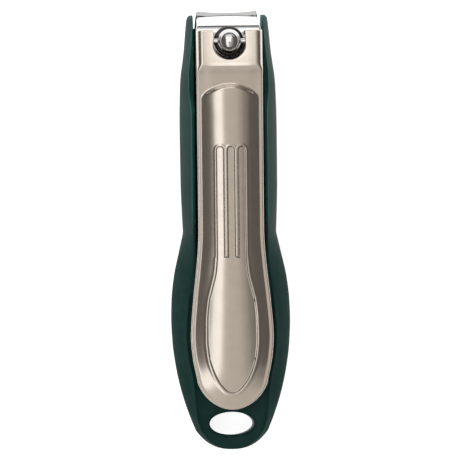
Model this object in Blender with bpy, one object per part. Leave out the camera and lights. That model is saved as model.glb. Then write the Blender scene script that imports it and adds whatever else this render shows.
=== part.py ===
"""Toenail clipper with a catcher casing, a flip-over lever and a hanging loop.

Frame: +Y towards the jaws, +X to the right, +Z up. The underside rests on z = 0, and the
origin is below the middle of the object. All dimensions below are in millimetres and are
turned into metres when a mesh is made.
"""
import math

import bmesh
import bpy

MM = 0.001
GAP = 0.3                      # play between neighbouring pieces

# Overall
REAR_END_Y = -47.7             # outside of the loop
WALL_TIP_Y = 46.8              # front ends of the casing walls

# Casing: half-widths along the length, in front of and behind the waist
WAIST_Y = -0.45
FRONT_HALF_WIDTHS = [
    (WAIST_Y, 10.15), (3.0, 10.31), (10.9, 10.54), (22.6, 10.58), (31.7, 10.37),
    (39.1, 9.47), (43.5, 9.08), (46.2, 8.75), (WALL_TIP_Y, 8.25),
]
REAR_HALF_WIDTHS = [
    (-43.5, 7.9), (-40.0, 9.3), (-34.8, 10.94), (-29.6, 12.06), (-24.4, 12.73),
    (-19.2, 12.96), (-15.2, 12.84), (-10.0, 12.27), (-4.8, 11.14), (WAIST_Y, 10.15),
]
LOOP_CENTRE_Y = -30.0          # centre of the ellipse that rounds the rear end
LOOP_HALF_WIDTH = 11.4
LOOP_POWER = 0.42              # below 0.5 the loop is blunter than an ellipse
LOOP_START_Y = -43.5
CREASE_HALF_WIDTHS = [
    (-47.7, 7.2), (-37.0, 8.0), (-32.0, 8.5), (-28.0, 9.4), (-23.0, 9.85), (-15.0, 9.3),
    (-9.0, 8.5), (-3.0, 8.15), (0.0, 8.2), (25.6, 8.2), (31.0, 8.7), (46.8, 8.45),
]
CREASE_HEIGHTS = [
    (-47.7, 9.8), (-40.0, 10.8), (-32.0, 11.9), (-20.0, 12.7), (0.0, 13.8), (25.6, 14.8),
    (31.0, 13.4), (40.0, 13.2), (46.8, 12.6),
]
CASING_MID_Z = 9.0             # height of the widest line of the casing
CASING_BOTTOM_ROUND = 4.2      # how far the underside's flat stays inside the widest line
END_ROUND = 4.6                # length over which the rear end rounds off
TIP_ROUND = 1.5                # rounding of the wall tips, seen from the side
DISH_DEPTH = 0.9               # hollow of the rear top face, inside its crease
DISH_POWER = 8                 # how suddenly the hollow rises to the crease
FLANK_POWER = 2.2              # roundness of the wall outside the crease
CREASE_LIMIT = 0.86            # the crease stays inside this share of the half-width
HOLE_Y = -42.1
HOLE_HALF_X = 4.85
HOLE_HALF_Y = 2.5

# Channel in the casing
CHANNEL_HALF_WIDTH = 7.55
RAIL_FRONT_Y = 44.0             # the floor and rails stop short of the wall tips
RAIL_HALF_WIDTH = 5.8          # the leaf lies on the rails between this and the walls
RAIL_TOP_Z = 4.1
CHANNEL_REAR_Y = -13.5
TAIL_HALF_WIDTH = 4.6
TAIL_REAR_Y = -30.6
FLOOR_Z = 1.6
LOWER_CHANNEL_REAR_Y = -28.0
LUG_Y = 2.2                    # snap lugs that keep the lower leaf on its rails
LUG_HALF_LENGTH = 1.5
LUG_LOW_Z = 6.5
LUG_HIGH_Z = 7.3
LUG_REACH = 0.75               # how far a lug stands out of the wall
LUG_ROOT = 0.5                 # how far it runs into the wall

# Base cover
COVER_HALF_WIDTH = 5.5
COVER_FRONT_Y = 36.0
COVER_REAR_Y = -38.4
COVER_THICKNESS = 1.5
TONGUE_HALF_WIDTH = 3.0
TONGUE_LENGTH = 2.0
TONGUE_LOW_Z = 0.6
TONGUE_HIGH_Z = 1.2
BOSS_RADIUS = 2.0              # boss round the stop pin
BOSS_TOP_Z = 3.4
BORE_FLOOR_Z = 0.8
SCREW_X = 2.6
SCREW_Y = -34.6
SCREW_HEAD_RADIUS = 1.7
SCREW_SHANK_RADIUS = 0.8
SCREW_HEAD_LOW_Z = 0.1
SCREW_HEAD_TOP_Z = 0.6
SCREW_TIP = 0.8
SCREW_TOP_Z = 7.0
DRIVER_HALF_LENGTH = 1.2       # slot for the screwdriver
DRIVER_HALF_WIDTH = 0.2
DRIVER_TOP_Z = 0.35

# Leaves
LEAF_THICKNESS = 1.8
LOWER_LEAF_Z = 4.4             # underside of the lower leaf
LEAF_HALF_WIDTH = 7.0
JAW_EDGE_HALF_WIDTH = 6.4
LOWER_EDGE_BOW = 0.34          # how far the lower edge's corners stand forward
UPPER_EDGE_BOW = 0.3           # how far the upper edge's middle stands forward
LOWER_HOLE_RADIUS = 1.8        # post's hole in the lower leaf
UPPER_SLOT_HALF_WIDTH = 2.0    # post's slot in the upper leaf
UPPER_SLOT_REACH = 2.25
UPPER_BODY_HALF_WIDTH = 6.3
UPPER_REAR_Y = -13.0
RIVET_Y = -9.0
RIVET_X = 3.3
RIVET_RADIUS = 1.2
RIVET_HEAD_RADIUS = 2.2
RIVET_LOW_Z = 3.3
RIVET_HEAD_HEIGHT = 0.9
UPPER_RISE = 6.7               # how much the upper leaf rises from its rivets to the post
LOWER_TAIL_Y = -30.0
LOWER_TAIL_HALF_WIDTH = 4.2
SLIDE_TRAVEL = 10.0
STOP_PIN_Y = -16.4
STOP_PIN_RADIUS = 0.8
STOP_PIN_TOP_Z = 6.1

# Post and lever
POST_Y = 41.0
PIN_Z = 18.1
BALL_RADIUS = 2.6
SHANK_RADIUS = 1.45
FOOT_RADIUS = 2.6
FOOT_LOW_Z = 1.9
FOOT_TOP_Z = 3.1
WASHER_RADIUS = 3.0
WASHER_Z = (3.4, 4.1)
COLLAR_RADIUS = 3.2
COLLAR_Z = (15.5, 15.9)
CROSS_PIN_RADIUS = 0.55
CROSS_PIN_HALF_LENGTH = 6.9
FORK_FRONT_Y = 43.4
SLOT_HALF_WIDTH = 3.43
SLOT_END_Y = 37.05
LEVER_REAR_Y = -39.05
LEVER_SHEET = 1.0
LEVER_HALF_WIDTHS = [
    (-33.0, 7.6), (-27.3, 8.68), (-23.3, 8.99), (-15.2, 8.43), (-9.1, 7.76), (-3.2, 7.24),
    (0.0, 7.12), (26.0, 7.14), (FORK_FRONT_Y, 7.17),
]
LEVER_TAIL_START_Y = -33.0     # behind this the outline is an arc of an ellipse
LEVER_TAIL_CENTRE_Y = -28.6
LEVER_TAIL_HALF_WIDTH = 8.37
LEVER_TAIL_POWER = 2.1
SKIRT_BOTTOMS = [(LEVER_REAR_Y, 12.5), (FORK_FRONT_Y, 16.8)]
SKIRT_HEIGHTS = [
    (LEVER_REAR_Y, 1.5), (-30.0, 1.9), (27.0, 1.95), (31.0, 2.12), (32.6, 2.3), (33.6, 2.6),
    (34.5, 3.0), (35.1, 3.26), (35.5, 3.32), (36.3, 3.24), (FORK_FRONT_Y, 2.45),
]
CROWN_HEIGHTS = [
    (LEVER_REAR_Y, 0.0), (-36.0, 0.15), (-32.0, 0.9), (-27.0, 1.8), (-20.0, 2.1), (-8.0, 1.85),
    (24.0, 1.75), (29.0, 1.68), (FORK_FRONT_Y, 1.6),
]
CROWN_POWER = 0.75             # roundness of the crown's section
CROWN_FRONT_Y = 31.9           # the crown ends in a rounded step behind the neck
CROWN_FRONT_BOW = 0.063
CROWN_FRONT_LENGTH = 1.1
RIM_WIDTH = 1.0                # flat rim beside the crown
RIM_BEND = 0.6                 # radius from the rim into the skirt
FORK_BEND = 1.5
FORK_REAR_Y = 34.0
LEVER_NECK_REAR_Y = 27.0
LEVER_NECK_STATIONS = [
    28.2, 29.4, 30.3, 31.0, 31.5, 31.9, 32.6, 33.6, 34.5, 35.1, 35.5, 36.3, 38.0, 40.0, 42.6,
]

GREEN = (0.018, 0.060, 0.056)
SATIN_NICKEL = (0.56, 0.51, 0.46)
CHROME = (0.82, 0.83, 0.84)
STEEL = (0.55, 0.56, 0.57)


def clear_scene():
    """Remove everything that the scene starts with."""
    for item in list(bpy.data.objects):
        bpy.data.objects.remove(item, do_unlink=True)


def curve_through(points):
    """A smooth function through the points that never overshoots them."""
    xs = [point[0] for point in points]
    ys = [point[1] for point in points]
    steps = [(ys[i + 1] - ys[i]) / (xs[i + 1] - xs[i]) for i in range(len(xs) - 1)]
    slopes = [steps[0]]
    for before, after in zip(steps, steps[1:]):
        slopes.append(0.0 if before * after <= 0 else 2 * before * after / (before + after))
    slopes.append(steps[-1])

    def value(x):
        x = min(max(x, xs[0]), xs[-1])
        i = 0
        while i < len(xs) - 2 and x > xs[i + 1]:
            i += 1
        width = xs[i + 1] - xs[i]
        t = (x - xs[i]) / width
        rise = ys[i] * (1 + 2 * t) * (1 - t) ** 2 + ys[i + 1] * t * t * (3 - 2 * t)
        return rise + width * (slopes[i] * t * (1 - t) ** 2 + slopes[i + 1] * t * t * (t - 1))

    return value


def material(name, colour, roughness, metallic):
    """A Principled material."""
    made = bpy.data.materials.new(name)
    made.use_nodes = True
    shader = made.node_tree.nodes["Principled BSDF"]
    shader.inputs["Base Color"].default_value = (*colour, 1.0)
    shader.inputs["Roughness"].default_value = roughness
    shader.inputs["Metallic"].default_value = metallic
    return made


def object_from(name, mesh_builder, surface, origin=(0.0, 0.0, 0.0)):
    """Turn a bmesh in millimetres into an object in metres with the given origin."""
    bmesh.ops.remove_doubles(mesh_builder, verts=mesh_builder.verts, dist=1e-4)
    bmesh.ops.translate(mesh_builder, verts=mesh_builder.verts, vec=[-value for value in origin])
    bmesh.ops.scale(mesh_builder, verts=mesh_builder.verts, vec=(MM, MM, MM))
    bmesh.ops.recalc_face_normals(mesh_builder, faces=mesh_builder.faces)
    mesh = bpy.data.meshes.new(name)
    mesh_builder.to_mesh(mesh)
    mesh_builder.free()
    mesh.materials.append(surface)
    mesh.shade_smooth()
    mesh.set_sharp_from_angle(angle=math.radians(35))
    made = bpy.data.objects.new(name, mesh)
    made.location = [value * MM for value in origin]
    bpy.context.collection.objects.link(made)
    return made


def grid_solid(tops, bottoms):
    """Closed solid between two grids of points of the same size."""
    builder = bmesh.new()
    upper = [[builder.verts.new(point) for point in row] for row in tops]
    lower = [[builder.verts.new(point) for point in row] for row in bottoms]
    rows = len(tops)
    columns = len(tops[0])
    for i in range(rows - 1):
        for j in range(columns - 1):
            builder.faces.new((upper[i][j], upper[i][j + 1], upper[i + 1][j + 1], upper[i + 1][j]))
            builder.faces.new((lower[i][j], lower[i + 1][j], lower[i + 1][j + 1], lower[i][j + 1]))
        for j in (0, columns - 1):
            builder.faces.new((upper[i][j], lower[i][j], lower[i + 1][j], upper[i + 1][j]))
    for i in (0, rows - 1):
        for j in range(columns - 1):
            builder.faces.new((upper[i][j], upper[i][j + 1], lower[i][j + 1], lower[i][j]))
    bmesh.ops.remove_doubles(builder, verts=builder.verts, dist=1e-4)
    bmesh.ops.triangulate(builder, faces=builder.faces)
    return builder


def field_solid(stations, half_width, top, bottom, across):
    """Solid between two height fields over an outline given by its half-width at each y."""
    shares = [math.sin(math.pi / 2 * (2 * j / (across - 1) - 1)) for j in range(across)]
    tops = []
    bottoms = []
    for y in stations:
        width = half_width(y)
        tops.append([(share * width, y, top(share * width, y)) for share in shares])
        bottoms.append([(share * width, y, bottom(share * width, y)) for share in shares])
    return grid_solid(tops, bottoms)


def box(low, high):
    """Box between two corners."""
    builder = bmesh.new()
    bmesh.ops.create_cube(builder, size=1.0)
    size = [high[k] - low[k] for k in range(3)]
    middle = [(high[k] + low[k]) / 2 for k in range(3)]
    bmesh.ops.scale(builder, verts=builder.verts, vec=size)
    bmesh.ops.translate(builder, verts=builder.verts, vec=middle)
    return builder


def turned(profile, segments, centre=(0.0, 0.0), inner=False):
    """Solid turned about a vertical axis from (radius, z) points, listed from the bottom up."""
    builder = bmesh.new()
    rings = []
    for radius, z in profile:
        if radius == 0.0:
            rings.append([builder.verts.new((centre[0], centre[1], z))])
            continue
        ring = []
        for k in range(segments):
            angle = 2 * math.pi * k / segments
            x = centre[0] + radius * math.cos(angle)
            y = centre[1] + radius * math.sin(angle)
            ring.append(builder.verts.new((x, y, z)))
        rings.append(ring)
    pairs = list(zip(rings, rings[1:]))
    if inner:
        pairs.append((rings[-1], rings[0]))
    for low, high in pairs:
        for k in range(segments):
            corners = [low[k % len(low)], low[(k + 1) % len(low)]]
            corners += [high[(k + 1) % len(high)], high[k % len(high)]]
            builder.faces.new(list(dict.fromkeys(corners)))
    return builder


def bar(radius, low, high):
    """Profile of a plain upright cylinder."""
    return [(0, low), (radius, low), (radius, high), (0, high)]


def prism(outline, low, high):
    """Upright prism over a plan outline."""
    builder = bmesh.new()
    count = len(outline)
    floor = [builder.verts.new((x, y, low)) for x, y in outline]
    roof = [builder.verts.new((x, y, high)) for x, y in outline]
    builder.faces.new(floor)
    builder.faces.new(roof)
    for k in range(count):
        other = (k + 1) % count
        builder.faces.new((floor[k], floor[other], roof[other], roof[k]))
    return builder


def side_prism(outline, half_width):
    """Prism along X over an outline in the (y, z) plane."""
    builder = prism(outline, -half_width, half_width)
    for vertex in builder.verts:
        y, z, x = vertex.co
        vertex.co = (x, y, z)
    return builder


def stadium(half_width, rear, front, segments=16):
    """Plan outline of a slot along Y with round ends."""
    points = []
    for k in range(segments + 1):
        angle = math.pi * k / segments
        points.append((half_width * math.cos(angle), front - half_width + half_width * math.sin(angle)))
    for k in range(segments + 1):
        angle = math.pi + math.pi * k / segments
        points.append((half_width * math.cos(angle), rear + half_width + half_width * math.sin(angle)))
    return points


def cut(target, builder, operation="DIFFERENCE"):
    """Cut a shape out of an object, or join it on, with a Boolean and a hidden cutter."""
    number = len(target.modifiers) + 1
    cutter = object_from(f"{target.name}_tool_{number}", builder, target.data.materials[0])
    cutter.hide_render = True
    cutter.display_type = "WIRE"
    modifier = target.modifiers.new(f"shape_{number}", "BOOLEAN")
    modifier.operation = operation
    modifier.object = cutter
    modifier.solver = "EXACT"


def smooth(share):
    """Smooth ramp from 0 to 1."""
    share = min(1.0, max(0.0, share))
    return share * share * (3 - 2 * share)


def spaced(start, end, count):
    """Evenly spaced values, both ends included."""
    return [start + (end - start) * k / (count - 1) for k in range(count)]


def rounded_end(start, end, count):
    """Values that crowd together towards the end, for an outline that closes there."""
    return [start + (end - start) * math.sin(math.pi / 2 * k / count) for k in range(1, count + 1)]


front_half_width = curve_through(FRONT_HALF_WIDTHS)
rear_half_width = curve_through(REAR_HALF_WIDTHS)
crease_half_width = curve_through(CREASE_HALF_WIDTHS)
crease_height = curve_through(CREASE_HEIGHTS)
lever_body_half_width = curve_through(LEVER_HALF_WIDTHS)
skirt_bottom = curve_through(SKIRT_BOTTOMS)
skirt_height = curve_through(SKIRT_HEIGHTS)
crown_height = curve_through(CROWN_HEIGHTS)


def casing_half_width(y):
    """Half-width of the casing's outline."""
    if y > WAIST_Y:
        return front_half_width(y)
    if y > LOOP_START_Y:
        return rear_half_width(y)
    share = (LOOP_CENTRE_Y - y) / (LOOP_CENTRE_Y - REAR_END_Y)
    return LOOP_HALF_WIDTH * max(0.0, 1 - share * share) ** LOOP_POWER


def end_share(y):
    """Share of the full height that is left where the rear end rounds off."""
    depth = REAR_END_Y + END_ROUND - y
    if depth <= 0:
        return 1.0
    return math.sqrt(max(0.0, 1 - (depth / END_ROUND) ** 2))


def casing_top(x, y):
    """Top face: a dish inside the crease, and a rounded flank outside it."""
    crest = crease_height(y)
    past_tip = y - (WALL_TIP_Y - TIP_ROUND)
    if past_tip > 0:
        crest -= TIP_ROUND - math.sqrt(max(0.0, TIP_ROUND ** 2 - past_tip ** 2))
    outer = casing_half_width(y)
    crease = min(crease_half_width(y), outer * CREASE_LIMIT)
    if abs(x) <= crease:
        hollow = DISH_DEPTH if y < CHANNEL_REAR_Y else 0.0
        hollow *= min(1.0, max(0.0, (y - REAR_END_Y) / END_ROUND - 0.4))
        height = crest - hollow * (1 - (abs(x) / max(crease, 1e-6)) ** DISH_POWER)
    else:
        share = (abs(x) - crease) / max(outer - crease, 1e-6)
        height = CASING_MID_Z + (crest - CASING_MID_Z) * math.sqrt(max(0.0, 1 - share ** FLANK_POWER))
    return CASING_MID_Z + (height - CASING_MID_Z) * end_share(y)


def casing_bottom(x, y):
    """Underside: flat in the middle and rounded up to the widest line."""
    outer = casing_half_width(y)
    flat = max(0.0, outer - CASING_BOTTOM_ROUND)
    if abs(x) <= flat:
        height = 0.0
    else:
        share = (abs(x) - flat) / max(outer - flat, 1e-6)
        height = CASING_MID_Z * (1 - math.sqrt(max(0.0, 1 - share ** 2)))
    return CASING_MID_Z + (height - CASING_MID_Z) * end_share(y)


def casing_shell():
    """The moulded casing: two walls with rails, a rear body and the hanging loop."""
    tip_start = WALL_TIP_Y - TIP_ROUND
    stations = rounded_end(LOOP_START_Y, REAR_END_Y, 6)[::-1]
    stations += spaced(LOOP_START_Y, WAIST_Y, 20)
    stations += spaced(WAIST_Y, tip_start, 22)[1:]
    stations += rounded_end(tip_start, WALL_TIP_Y, 3)
    green = material("casing_green", GREEN, 0.5, 0.0)
    shell = object_from(
        "casing_shell", field_solid(stations, casing_half_width, casing_top, casing_bottom, 21), green
    )
    hole = [
        (HOLE_HALF_X * math.cos(angle), HOLE_Y + HOLE_HALF_Y * math.sin(angle))
        for angle in [2 * math.pi * k / 32 for k in range(32)]
    ]
    cut(shell, prism(hole, -1, 20))
    plan = [
        (CHANNEL_HALF_WIDTH, CHANNEL_REAR_Y), (CHANNEL_HALF_WIDTH, 60),
        (-CHANNEL_HALF_WIDTH, 60), (-CHANNEL_HALF_WIDTH, CHANNEL_REAR_Y),
        (-TAIL_HALF_WIDTH, CHANNEL_REAR_Y), (-TAIL_HALF_WIDTH, TAIL_REAR_Y),
        (TAIL_HALF_WIDTH, TAIL_REAR_Y), (TAIL_HALF_WIDTH, CHANNEL_REAR_Y),
    ]
    cut(shell, prism(plan, RAIL_TOP_Z, 30))
    rebate = COVER_THICKNESS + GAP
    side_view = [
        (COVER_REAR_Y - GAP, -1), (COVER_REAR_Y - GAP, rebate), (LOWER_CHANNEL_REAR_Y, rebate),
        (LOWER_CHANNEL_REAR_Y, RAIL_TOP_Z + 1), (61, RAIL_TOP_Z + 1), (61, FLOOR_Z),
        (COVER_FRONT_Y + GAP, FLOOR_Z), (COVER_FRONT_Y + GAP, -1),
    ]
    cut(shell, side_prism(side_view, RAIL_HALF_WIDTH))
    tongue_reach = COVER_FRONT_Y + TONGUE_LENGTH + GAP
    cut(shell, box((-TONGUE_HALF_WIDTH - GAP, COVER_FRONT_Y - 1, TONGUE_LOW_Z - GAP),
                   (TONGUE_HALF_WIDTH + GAP, tongue_reach, FLOOR_Z + 1)))
    cut(shell, box((-CHANNEL_HALF_WIDTH, RAIL_FRONT_Y, -1), (CHANNEL_HALF_WIDTH, 60, RAIL_TOP_Z + 1)))
    for side in (-1, 1):
        pilot = bar(SCREW_SHANK_RADIUS + GAP, 0.5, SCREW_TOP_Z + GAP)
        cut(shell, turned(pilot, 12, (side * SCREW_X, SCREW_Y)))
        inner = side * (CHANNEL_HALF_WIDTH - LUG_REACH)
        outer = side * (CHANNEL_HALF_WIDTH + LUG_ROOT)
        lug = box((min(inner, outer), LUG_Y - LUG_HALF_LENGTH, LUG_LOW_Z),
                  (max(inner, outer), LUG_Y + LUG_HALF_LENGTH, LUG_HIGH_Z))
        cut(shell, lug, "UNION")


def base_cover():
    """Snap-in floor of the catcher, with a front tongue and a boss for the stop pin."""
    green = material("cover_green", GREEN, 0.6, 0.0)
    cover = object_from(
        "base_cover",
        box((-COVER_HALF_WIDTH, COVER_REAR_Y, 0), (COVER_HALF_WIDTH, COVER_FRONT_Y, COVER_THICKNESS)),
        green,
    )
    cut(cover, box((-TONGUE_HALF_WIDTH, COVER_FRONT_Y - 1, TONGUE_LOW_Z),
                   (TONGUE_HALF_WIDTH, COVER_FRONT_Y + TONGUE_LENGTH, TONGUE_HIGH_Z)), "UNION")
    cut(cover, turned(bar(BOSS_RADIUS, BORE_FLOOR_Z + 0.1, BOSS_TOP_Z), 20, (0, STOP_PIN_Y)), "UNION")
    cut(cover, turned(bar(STOP_PIN_RADIUS + GAP, BORE_FLOOR_Z, BOSS_TOP_Z + 1), 16, (0, STOP_PIN_Y)))
    for side in (-1, 1):
        place = (side * SCREW_X, SCREW_Y)
        bore = SCREW_SHANK_RADIUS + GAP
        head = SCREW_HEAD_RADIUS + GAP
        seat = SCREW_HEAD_TOP_Z + GAP
        cut(cover, turned([(0, -1), (head, -1), (head, seat), (bore, seat), (bore, 3), (0, 3)], 16, place))


def base_screws():
    """Two pan-head screws that hold the rear of the base cover."""
    for side, word in ((-1, "left"), (1, "right")):
        profile = [
            (0, SCREW_HEAD_LOW_Z), (SCREW_HEAD_RADIUS, SCREW_HEAD_LOW_Z),
            (SCREW_HEAD_RADIUS, SCREW_HEAD_TOP_Z), (SCREW_SHANK_RADIUS, SCREW_HEAD_TOP_Z),
            (SCREW_SHANK_RADIUS, SCREW_TOP_Z - SCREW_TIP), (0, SCREW_TOP_Z),
        ]
        steel = material(f"screw_steel_{word}", STEEL, 0.35, 1.0)
        screw = object_from(f"base_screw_{word}", turned(profile, 16), steel)
        screw.location = (side * SCREW_X * MM, SCREW_Y * MM, 0)
        centre = side * SCREW_X
        cut(screw, box((centre - DRIVER_HALF_LENGTH, SCREW_Y - DRIVER_HALF_WIDTH, -0.5),
                       (centre + DRIVER_HALF_LENGTH, SCREW_Y + DRIVER_HALF_WIDTH, DRIVER_TOP_Z)))


def stop_pin():
    """Steel pin in the cover's boss; it runs in the lower leaf's slot."""
    low = BORE_FLOOR_Z + GAP
    chamfer = 0.3
    profile = [
        (0, low), (STOP_PIN_RADIUS, low), (STOP_PIN_RADIUS, STOP_PIN_TOP_Z - chamfer),
        (STOP_PIN_RADIUS - chamfer, STOP_PIN_TOP_Z), (0, STOP_PIN_TOP_Z),
    ]
    pin = object_from("stop_pin", turned(profile, 14), material("stop_pin_steel", STEEL, 0.3, 1.0))
    pin.location = (0, STOP_PIN_Y * MM, 0)


def leaf_solid(path, half_width, front_bow, across=8):
    """Strip of sheet along (y, z, thickness) points; the front end can bow in plan."""
    tops = []
    bottoms = []
    last = len(path) - 1
    for i, (y, z, thickness) in enumerate(path):
        before = path[max(i - 1, 0)]
        after = path[min(i + 1, last)]
        along = math.atan2(after[1] - before[1], after[0] - before[0])
        lean_y = -math.sin(along) * thickness / 2
        lean_z = math.cos(along) * thickness / 2
        width = half_width(y)
        top_row = []
        bottom_row = []
        for j in range(across):
            x = width * (2 * j / (across - 1) - 1)
            bow = front_bow(x, y)
            top_row.append((x, y + lean_y + bow, z + lean_z))
            bottom_row.append((x, y - lean_y + bow, z - lean_z))
        tops.append(top_row)
        bottoms.append(bottom_row)
    return grid_solid(tops, bottoms)


def lower_leaf():
    """Lower leaf: a flat spring with a long slot at the tail and a jaw curved up in front."""
    middle = LOWER_LEAF_Z + LEAF_THICKNESS / 2
    path = [(LOWER_TAIL_Y, middle, LEAF_THICKNESS), (CHANNEL_REAR_Y + 0.4, middle, LEAF_THICKNESS)]
    path += [(y, middle, LEAF_THICKNESS) for y in (CHANNEL_REAR_Y + 0.7, 10.0, 38.0, 42.0)]
    path += [(43.6, middle + 0.1, 1.7), (45.2, 5.75, 1.5), (46.4, 6.5, 1.1), (47.2, 7.35, 0.5)]
    widths = curve_through([(LOWER_TAIL_Y, LOWER_TAIL_HALF_WIDTH),
                            (CHANNEL_REAR_Y + 0.4, LOWER_TAIL_HALF_WIDTH),
                            (CHANNEL_REAR_Y + 0.7, LEAF_HALF_WIDTH),
                            (42.0, LEAF_HALF_WIDTH), (47.2, JAW_EDGE_HALF_WIDTH)])

    def bow(x, y):
        return LOWER_EDGE_BOW * (x / JAW_EDGE_HALF_WIDTH) ** 2 if y > 46 else 0.0

    steel = material("lower_leaf_chrome", CHROME, 0.18, 1.0)
    leaf = object_from("lower_leaf", leaf_solid(path, widths, bow), steel)
    slot_front = STOP_PIN_Y + STOP_PIN_RADIUS + GAP
    slot_rear = STOP_PIN_Y - SLIDE_TRAVEL - STOP_PIN_RADIUS - GAP
    cut(leaf, prism(stadium(STOP_PIN_RADIUS + GAP, slot_rear, slot_front), 0, 10))
    cut(leaf, turned(bar(LOWER_HOLE_RADIUS, 0, 10), 20, (0, POST_Y)))
    for side in (-1, 1):
        cut(leaf, rivet_hole(side))


def rivet_hole(side):
    """Cutter for a rivet's hole."""
    return turned(bar(RIVET_RADIUS + GAP, 0, 12), 14, (side * RIVET_X, RIVET_Y))


def upper_leaf():
    """Upper leaf: it rises from the rivets to the post, and its jaw is bent down in front."""
    rest = LOWER_LEAF_Z + LEAF_THICKNESS + GAP + LEAF_THICKNESS / 2
    slope = UPPER_RISE / (POST_Y - RIVET_Y)
    path = [(UPPER_REAR_Y, rest, LEAF_THICKNESS), (RIVET_Y + 3, rest, LEAF_THICKNESS)]
    for y in (-3.0, 8.0, 20.0, 32.0, 42.6):
        path.append((y, rest + slope * (y - RIVET_Y) * min(1, (y - RIVET_Y) / 12), LEAF_THICKNESS))
    crest = path[-1][1]
    path += [(43.7, crest - 0.1, 1.7), (44.6, crest - 0.65, 1.45), (45.5, crest - 1.45, 1.0),
             (46.2, crest - 2.2, 0.45)]
    widths = curve_through([(UPPER_REAR_Y, UPPER_BODY_HALF_WIDTH), (32.0, UPPER_BODY_HALF_WIDTH),
                            (38.0, LEAF_HALF_WIDTH), (44.0, LEAF_HALF_WIDTH), (46.2, 6.6)])

    def bow(x, y):
        return UPPER_EDGE_BOW * (1 - (x / JAW_EDGE_HALF_WIDTH) ** 2) if y > 45 else 0.0

    steel = material("upper_leaf_chrome", CHROME, 0.15, 1.0)
    leaf = object_from("upper_leaf", leaf_solid(path, widths, bow), steel, (0, RIVET_Y, rest))
    slot = stadium(UPPER_SLOT_HALF_WIDTH, POST_Y - UPPER_SLOT_REACH, POST_Y + UPPER_SLOT_REACH)
    cut(leaf, prism(slot, 9, 20))
    for side in (-1, 1):
        cut(leaf, rivet_hole(side))


def rivets():
    """Two rivets that hold the leaves together at the rear."""
    top = LOWER_LEAF_Z + 2 * LEAF_THICKNESS + 2 * GAP + 0.1
    for side, word in ((-1, "left"), (1, "right")):
        profile = [
            (0, RIVET_LOW_Z), (RIVET_HEAD_RADIUS - 0.5, RIVET_LOW_Z), (RIVET_HEAD_RADIUS, RIVET_LOW_Z + 0.3),
            (RIVET_HEAD_RADIUS, LOWER_LEAF_Z - GAP), (RIVET_RADIUS, LOWER_LEAF_Z - GAP),
            (RIVET_RADIUS, top), (RIVET_HEAD_RADIUS, top), (RIVET_HEAD_RADIUS, top + 0.4),
            (RIVET_HEAD_RADIUS - 0.6, top + RIVET_HEAD_HEIGHT - 0.1), (0, top + RIVET_HEAD_HEIGHT),
        ]
        steel = material(f"rivet_steel_{word}", STEEL, 0.25, 1.0)
        rivet = object_from(f"rear_rivet_{word}", turned(profile, 18), steel)
        rivet.location = (side * RIVET_X * MM, RIVET_Y * MM, 0)


def post():
    """Post with a flanged foot and a ball head, cross-drilled for the lever's pin."""
    ball = []
    neck_angle = math.asin(SHANK_RADIUS / BALL_RADIUS)
    for k in range(11):
        angle = neck_angle + (math.pi - neck_angle) * k / 10
        radius = BALL_RADIUS * math.sin(angle) if k < 10 else 0
        ball.append((radius, PIN_Z - BALL_RADIUS * math.cos(angle)))
    foot = [
        (0, FOOT_LOW_Z), (FOOT_RADIUS - 0.4, FOOT_LOW_Z), (FOOT_RADIUS, FOOT_LOW_Z + 0.3),
        (FOOT_RADIUS, FOOT_TOP_Z), (SHANK_RADIUS, FOOT_TOP_Z),
    ]
    chrome = material("post_chrome", CHROME, 0.06, 1.0)
    made = object_from("post", turned(foot + ball, 24), chrome)
    made.location = (0, POST_Y * MM, 0)
    cut(made, cross_bore(CROSS_PIN_RADIUS + GAP, BALL_RADIUS + 1))


def cross_bore(radius, half_length):
    """Round bar along X through the ball's centre."""
    builder = turned(bar(radius, -half_length, half_length), 16)
    for vertex in builder.verts:
        x, y, z = vertex.co
        vertex.co = (z, y + POST_Y, x + PIN_Z)
    return builder


def washer(name, outer, heights, surface):
    """Flat ring on the post."""
    inner = SHANK_RADIUS + GAP
    low, high = heights
    profile = [(inner, low), (outer, low), (outer, high), (inner, high)]
    ring = object_from(name, turned(profile, 24, inner=True), surface)
    ring.location = (0, POST_Y * MM, 0)


def cross_pin():
    """Axle through the ball head that the lever's fork swings on."""
    steel = material("cross_pin_steel", CHROME, 0.12, 1.0)
    object_from("cross_pin", cross_bore(CROSS_PIN_RADIUS, CROSS_PIN_HALF_LENGTH), steel, (0, POST_Y, PIN_Z))


def lever_half_width(y):
    """Half-width of the lever's outline."""
    if y > LEVER_TAIL_START_Y:
        return lever_body_half_width(y)
    share = (LEVER_TAIL_CENTRE_Y - y) / (LEVER_TAIL_CENTRE_Y - LEVER_REAR_Y)
    fullness = 1 - max(0.0, share) ** LEVER_TAIL_POWER
    return LEVER_TAIL_HALF_WIDTH * math.sqrt(max(0.0, fullness))


def lever_top(x, y):
    """Top of the pressed lever: a crown inside a narrow rim, rounded into the skirt."""
    half = lever_half_width(y)
    height = skirt_bottom(y) + skirt_height(y)
    crown_half = half - RIM_WIDTH
    if abs(x) < crown_half:
        front = CROWN_FRONT_Y - CROWN_FRONT_BOW * x * x
        lift = crown_height(y) * (1 - (x / crown_half) ** 2) ** CROWN_POWER
        height += lift * smooth((front - y) / CROWN_FRONT_LENGTH)
    bend = FORK_BEND if y > FORK_REAR_Y else RIM_BEND
    past = abs(x) - (half - bend)
    if past > 0:
        height -= bend - math.sqrt(max(0.0, bend ** 2 - past ** 2))
    return height


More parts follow.
